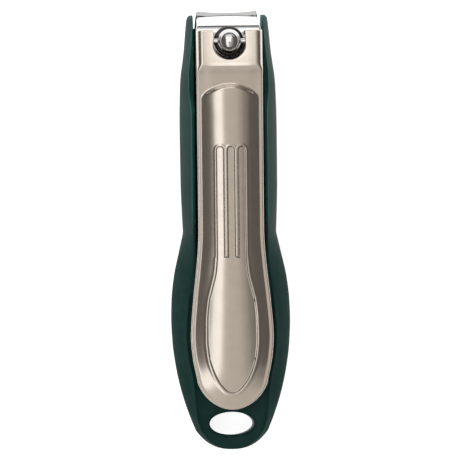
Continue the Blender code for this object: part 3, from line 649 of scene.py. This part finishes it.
def recess_distance(x, y):
    """Distance to the edge of the pressed recess, negative inside: three fingers and a teardrop."""
    nearest = None
    for centre in FINGER_CENTRES:
        past = np.clip(y - (FINGER_TOP_Y - FINGER_RADIUS), 0, None)
        finger = np.sqrt((x - centre) ** 2 + past ** 2) - FINGER_RADIUS
        finger = np.maximum(finger, RIB_END_Y - 3 - y)
        nearest = finger if nearest is None else np.minimum(nearest, finger)
    start, step = THUMB[:-1], np.diff(THUMB, axis=0)
    away = np.stack([np.abs(x), y], axis=-1)[..., None, :] - start
    share = np.clip((away * step).sum(-1) / (step ** 2).sum(-1), 0, 1)
    bay = np.sqrt(((away - share[..., None] * step) ** 2).sum(-1)).min(-1)
    inside = (np.abs(x) < thumb_half_width(y)) & (y < RIB_END_Y) & (y > THUMB[0, 1])
    return np.minimum(nearest, np.where(inside, -bay, bay))


def lever_top(x, y, detail):
    """Top of the pressed lever: a crown inside a narrow rim, rounded into the skirt."""
    half = lever_half_width(y)
    rim = skirt_bottom(y) + skirt_height(y)
    crown_half = np.maximum(half - RIM_WIDTH, 1e-6)
    lift = np.clip(1 - np.abs(x / crown_half) ** CROWN_POWER, 0, None) ** CROWN_SHOULDER
    front = CROWN_FRONT_Y - CROWN_FRONT_BOW * x ** 2
    behind = smooth((front - y) / CROWN_FRONT_LENGTH)
    panel = PANEL_HEIGHT * smooth((PANEL_HALF_WIDTH - np.abs(x)) / PANEL_SIDE_LENGTH)
    panel = panel * smooth((PANEL_FRONT_Y - y) / 2)
    height = rim + crown_height(y) * lift * behind + panel * (1 - behind)
    bend = RIM_BEND + (FORK_BEND - RIM_BEND) * smooth((y - FORK_REAR_Y) / 2)
    past = np.clip(np.abs(x) - (half - bend), 0, bend)
    height = height - (bend - np.sqrt(np.clip(bend ** 2 - past ** 2, 0, None)))
    if detail:
        gap = recess_distance(x, y)
        height = height - STEP_DEPTH * smooth(0.5 - gap / STEP_WIDTH)
        spread = np.where(y < RIB_END_Y, LIP_WIDTH, FINGER_LIP_WIDTH)
        height = height + LIP_HEIGHT * np.exp(-((gap - spread - LIP_GAP) / spread) ** 2)
        front = np.clip(y - (FORK_FRONT_Y - FORK_EDGE_ROUND), 0, FORK_EDGE_ROUND)
        arc = np.sqrt(np.clip(FORK_EDGE_ROUND ** 2 - front ** 2, 0, None))
        height = height - (FORK_EDGE_ROUND - arc)
    return height


def lever_half_row(y, half):
    """Points across one half of the lever, packed along the recess's edge and the rim."""
    edge = FINGER_CENTRES[2] + FINGER_RADIUS
    if y < RIB_END_Y:
        edge = max(0.02, float(thumb_half_width(y)))
    near = min(max(edge - 0.4, edge * 0.5), half * 0.35)
    far = min(edge + 0.5, half * 0.7)
    crown = max(half - 0.95, far + (half - far) * 0.5)
    rim = crown + (half - crown) * 0.62
    parts = [np.linspace(0, near, 44)[:-1], np.linspace(near, far, 17)[:-1]]
    parts += [np.linspace(far, crown, 22)[:-1], np.linspace(crown, rim, 9)[:-1]]
    parts.append(rim + (half - rim) * np.sin(np.linspace(0, math.pi / 2, 8)))
    return np.concatenate(parts)


def lever_sheet(inset, detail):
    """Grid over one face of the lever: the top, with the sides carried down to the skirt's edge."""
    rows = []
    for y in lever_stations(LEVER_REAR_Y + inset):
        half = float(lever_half_width(y, inset))
        side = lever_half_row(y, half)
        x = np.concatenate([-side[:0:-1], side])
        z = lever_top(x, np.full_like(x, y), detail) - inset
        foot = float(skirt_bottom(y))
        left = [(-half, y, foot + (z[0] - foot) * k / 4) for k in range(4)]
        right = [(half, y, foot + (z[-1] - foot) * k / 4) for k in range(3, -1, -1)]
        rows.append(left + [(px, y, pz) for px, pz in zip(x, z)] + right)
    return np.array(rows)


def lever_stations(rear):
    """Places along the lever, packed at the round tail and the front edge."""
    tail = rear + (LEVER_TAIL_START_Y - rear) * (1 - np.cos(np.linspace(0, math.pi / 2, 34)))
    nose_length = 0.5
    nose_start = FORK_FRONT_Y - nose_length
    body = np.linspace(LEVER_TAIL_START_Y, nose_start, 380)[1:]
    nose = nose_start + nose_length * np.sin(np.linspace(0, math.pi / 2, 7))[1:]
    tip = np.linspace(THUMB[0, 1] - 0.5, THUMB[0, 1] + 1.2, 26)
    tops = np.linspace(FINGER_TOP_Y - 0.9, FINGER_TOP_Y + 0.5, 20)
    return np.sort(np.concatenate([tail, body, nose, tip, tops]))


def lever_skin():
    """The pressed lever at full detail."""
    outer = lever_sheet(0.0, True)
    inner = lever_sheet(LEVER_SHEET, False)
    skin = closed_between("lever_skin", outer, inner, satin_nickel, pointed=True)
    apply_cut(skin, loft_outline("fork_slot", slot_outlines(), satin_nickel))
    apply_cut(skin, cross_bar("pin_bore", PIN_BORE_RADIUS, 9, satin_nickel), LEVER_SHARP_ANGLE)
    return skin


def cross_bar(name, radius, half_length, finish, soft=0.0):
    """Round bar along X through the ball's centre, with its ends softened.

    Known fault: swapping two axes mirrors the bar, so its faces point inwards and it opens no bore.
    """
    profile = [(0, -half_length), (radius - soft, -half_length), (radius, soft - half_length)]
    profile += [(radius, half_length - soft), (radius - soft, half_length), (0, half_length)]
    bar = turned(name, profile, finish, segments=48)
    for vertex in bar.data.vertices:
        x, y, z = vertex.co
        vertex.co = (z, y + POST_Y * MM, x + PIN_Z * MM)
    return bar


def slot_outlines():
    """Outlines of the fork's slot, flared at the top so that its edge is rounded."""
    top = float(skirt_bottom(40.0) + skirt_height(40.0))

    def slot(spread):
        radius = SLOT_HALF_WIDTH + spread
        centre = SLOT_END_Y + SLOT_HALF_WIDTH
        turns = [math.pi + math.pi * k / 48 for k in range(49)]
        points = [(radius * math.cos(t), centre + radius * math.sin(t)) for t in turns]
        return points + [(radius, 52), (-radius, 52)]

    outlines = [(slot(0), 10)]
    for k in range(7):
        angle = math.pi / 2 * k / 6
        z = top - SLOT_RIM * (1 - math.sin(angle)) + 0.03
        outlines.append((slot(SLOT_RIM * (1 - math.cos(angle))), z))
    outlines.append((slot(SLOT_RIM), top + 3))
    return outlines


# ---------------------------------------------------------------- leaves

def leaf_strip(name, tops, bottoms, half_width, bow):
    """Strip of sheet between two profiles of (y, z) points, with rounded long edges."""
    tops, bottoms = np.array(tops), np.array(bottoms)
    places = np.concatenate([[k, k + 0.5] for k in range(len(tops) - 1)] + [[len(tops) - 1]])
    index = np.arange(len(tops))
    shares = np.concatenate([[-1, -0.99, -0.975], np.linspace(-0.95, 0.95, 31), [0.975, 0.99, 1]])
    grids = []
    for profile, turn in ((tops, 1), (bottoms, -1)):
        y = np.interp(places, index, profile[:, 0])[:, None]
        z = np.interp(places, index, profile[:, 1])[:, None]
        middle = np.interp(places, index, (tops[:, 1] + bottoms[:, 1]) / 2)[:, None]
        half = np.asarray(half_width(y))
        x = shares[None, :] * half
        past = np.clip(np.abs(x) - (half - LEAF_ROUND), 0, LEAF_ROUND)
        share = np.clip(turn * (z - middle) / (LEAF_THICKNESS / 2), 0, 1)
        soft = (LEAF_ROUND - np.sqrt(np.clip(LEAF_ROUND ** 2 - past ** 2, 0, None))) * share
        grids.append(np.stack([x, y + bow(x, y), z - turn * soft], axis=2))
    return closed_between(name, grids[0], grids[1], leaf_chrome, 30.0)


def bored(target, radius, x, y):
    """Round hole through a leaf."""
    cutter = turned("bore", [(0, 0), (radius, 0), (radius, 16), (0, 16)], leaf_chrome, (x, y), 40)
    apply_cut(target, cutter)


def lower_leaf_skin():
    """Lower leaf with its jaw."""
    low = span("lower_leaf", 2)[0]
    top = low + LEAF_THICKNESS
    flat = np.linspace(-30, 42, 40)
    tops = [(y, top) for y in flat] + [(y, top + rise) for y, rise in LOWER_JAW_TOP]
    bottoms = [(y, low) for y in flat] + [(y, low + rise) for y, rise in LOWER_JAW_BOTTOM]

    def bow(x, y):
        return LOWER_JAW_BOW * (x / JAW_HALF_WIDTH) ** 2 * smooth((y - JAW_BOW_REAR_Y) / 2)

    leaf = leaf_strip("lower_leaf_skin", tops, bottoms, curve_through(LOWER_LEAF_WIDTHS), bow)
    front = STOP_SLOT_FRONT_Y - STOP_SLOT_RADIUS
    slot = rounded_slot(STOP_SLOT_RADIUS, front, STOP_SLOT_REAR_Y + STOP_SLOT_RADIUS)
    apply_cut(leaf, loft_outline("slot", [(slot, 0), (slot, 10)], leaf_chrome))
    for side in (-1, 1):
        bored(leaf, RIVET_BORE_RADIUS, side * RIVET_X, RIVET_Y)
    bored(leaf, POST_BORE_RADIUS, 0, POST_Y)
    return leaf


def upper_leaf_middle():
    """Height of the upper leaf's middle along Y: level at the rivets, then sprung upwards."""
    slope = UPPER_LEAF_RISE / (POST_Y - RIVET_Y)
    knots = [(-13.0, UPPER_LEAF_REAR_Z), (-6.0, UPPER_LEAF_REAR_Z)]
    for y in (-3.0, 8.0, 20.0, 32.0, 42.6, 46.0):
        share = min(1, (y - RIVET_Y) / 12)
        knots.append((y, UPPER_LEAF_REAR_Z + slope * (y - RIVET_Y) * share))
    return curve_through(knots)


def upper_leaf_skin():
    """Upper leaf with its polished jaw facet and a countersunk post hole."""
    middle = upper_leaf_middle()
    half = LEAF_THICKNESS / 2
    crest = float(middle(JAW_REAR_Y)) + half
    strip = np.linspace(-13, JAW_REAR_Y, 60)
    tops = [(y, float(middle(y)) + half) for y in strip]
    tops += [(y, crest + rise) for y, rise in UPPER_JAW_TOP]
    bottoms = [(y, float(middle(y)) - half) for y in strip]
    bottoms += [(y, crest + rise) for y, rise in UPPER_JAW_BOTTOM]

    def bow(x, y):
        return UPPER_JAW_BOW * (1 - (x / JAW_HALF_WIDTH) ** 2) * smooth((y - JAW_BOW_REAR_Y) / 1.8)

    leaf = leaf_strip("upper_leaf_skin", tops, bottoms, curve_through(UPPER_LEAF_WIDTHS), bow)
    slot = rounded_slot(POST_SLOT_RADIUS, *POST_SLOT_CENTRES_Y)
    apply_cut(leaf, loft_outline("slot", [(slot, 9), (slot, 20)], leaf_chrome))
    seat = [(radius, crest + rise) for radius, rise in SEAT]
    apply_cut(leaf, turned("seat", seat, leaf_chrome, (0, POST_Y), 64))
    for side in (-1, 1):
        bored(leaf, RIVET_BORE_RADIUS, side * RIVET_X, RIVET_Y)
    return leaf


# ---------------------------------------------------------------- post and small parts

def post_skin():
    """Post: rounded foot, shank and a smooth ball."""
    neck = math.asin(SHANK_RADIUS / BALL_RADIUS)
    turns = np.linspace(neck, math.pi, 40)
    profile = [(radius, POST_FOOT_Z + rise) for radius, rise in POST_FOOT]
    profile += [(BALL_RADIUS * math.sin(t), PIN_Z - BALL_RADIUS * math.cos(t)) for t in turns]
    skin = turned("post_skin", profile, post_chrome, (0, POST_Y), 96)
    apply_cut(skin, cross_bar("pin_bore", PIN_BORE_RADIUS, 4, post_chrome))
    return skin


def ring_skin(name, node, finish, segments):
    """Flat ring round the post, as wide and as thick as its CAD node, with rounded outer edges."""
    outer = span(node, 0)[1]
    low, high = span(node, 2)
    soft, part = SMALL_ROUND, SMALL_ROUND * 0.3
    profile = [
        (RING_BORE_RADIUS, low), (outer - soft, low), (outer - part, low + part), (outer, low + soft),
        (outer, high - soft), (outer - part, high - part), (outer - soft, high), (RING_BORE_RADIUS, high),
    ]
    return turned(name, profile, finish, (0, POST_Y), segments, True)


def cross_pin_skin():
    """Pin through the fork and the ball."""
    low, high = span("cross_pin", 2)
    return cross_bar("cross_pin_skin", (high - low) / 2, span("cross_pin", 0)[1], post_chrome, SMALL_ROUND)


def place(piece, body, slot, *nodes):
    """Ride on a body and stand for CAD nodes; the material slot's name is not used."""
    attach(piece, body)
    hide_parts(*nodes)


place(casing_skin(), "casing", "casing_plastic", "casing_shell")
place(lever_skin(), "lever", "lever_nickel", "lever")
place(lower_leaf_skin(), "clipper", "leaf_chrome", "lower_leaf")
place(upper_leaf_skin(), "upper_jaw", "leaf_chrome", "upper_leaf")
place(post_skin(), "post", "post_chrome", "post")
# The collar's near-black colour is painted shade for the hollow under the fork
place(ring_skin("collar_skin", "post_collar", painted_shade_steel, 72), "post", "post_chrome", "post_collar")
place(ring_skin("foot_washer_skin", "foot_washer", plain_steel, 64), "post", "fastener_steel", "foot_washer")
place(cross_pin_skin(), "post", "post_chrome", "cross_pin")

kept = {
    "base_cover": cover_green, "base_screw_left": plain_steel, "base_screw_right": plain_steel,
    "stop_pin": plain_steel, "rear_rivet_left": plain_steel, "rear_rivet_right": plain_steel,
}
for node, finish in kept.items():
    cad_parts[node].material_slots[0].material = finish

# ---------------------------------------------------------------- floor, light and camera

floor_surface = bpy.data.materials.new("studio_floor")
floor_surface.use_nodes = True
floor_shader = floor_surface.node_tree.nodes["Principled BSDF"]
floor_shader.inputs["Base Color"].default_value = (0.93, 0.93, 0.93, 1.0)
floor_shader.inputs["Roughness"].default_value = 0.7
floor_shader.inputs["Emission Color"].default_value = (1.0, 1.0, 1.0, 1.0)
floor_shader.inputs["Emission Strength"].default_value = FLOOR_GLOW
floor_corners = [
    (side_x * STAGE_HALF_SIZE, side_y * STAGE_HALF_SIZE, STAGE_Z)
    for side_x, side_y in ((-1, -1), (1, -1), (1, 1), (-1, 1))
]
floor = new_object("studio_floor", floor_corners, [(0, 1, 2, 3)], floor_surface)


def panel(name, centre, size, radiance, tint):
    """Soft rectangular light that faces straight down; radiance is what a mirror of it would show."""
    light = bpy.data.lights.new(name, "AREA")
    light.shape = "RECTANGLE"
    light.size, light.size_y = size
    light.color = tint
    light.energy = radiance * math.pi * size[0] * size[1]
    lamp = bpy.data.objects.new(name, light)
    lamp.location = centre
    lamp.visible_camera = False
    bpy.context.collection.objects.link(lamp)


for panel_name, (panel_centre, panel_size, panel_radiance, panel_tint) in PANELS.items():
    panel(panel_name, panel_centre, panel_size, panel_radiance, panel_tint)

world = bpy.data.worlds.new("studio")
world.use_nodes = True
world.node_tree.nodes["Background"].inputs["Color"].default_value = (1.0, 0.90, 0.82, 1.0)
world.node_tree.nodes["Background"].inputs["Strength"].default_value = WORLD_GLOW
bpy.context.scene.world = world

camera_data = bpy.data.cameras.new("camera")
camera_data.lens = LENS
camera_data.sensor_width = SENSOR
camera = bpy.data.objects.new("camera", camera_data)
distance = PICTURE_WIDTH * LENS / SENSOR
tilt = math.radians(CAMERA_TILT)
roll = math.radians(CAMERA_ROLL)
camera.location = (AIM[0] - distance * math.sin(tilt), AIM[1], AIM[2] + distance * math.cos(tilt))
camera.rotation_mode = "ZYX"
camera.rotation_euler = (0.0, -tilt, roll)
bpy.context.collection.objects.link(camera)
bpy.context.scene.camera = camera
bpy.context.scene.view_settings.view_transform = "Standard"
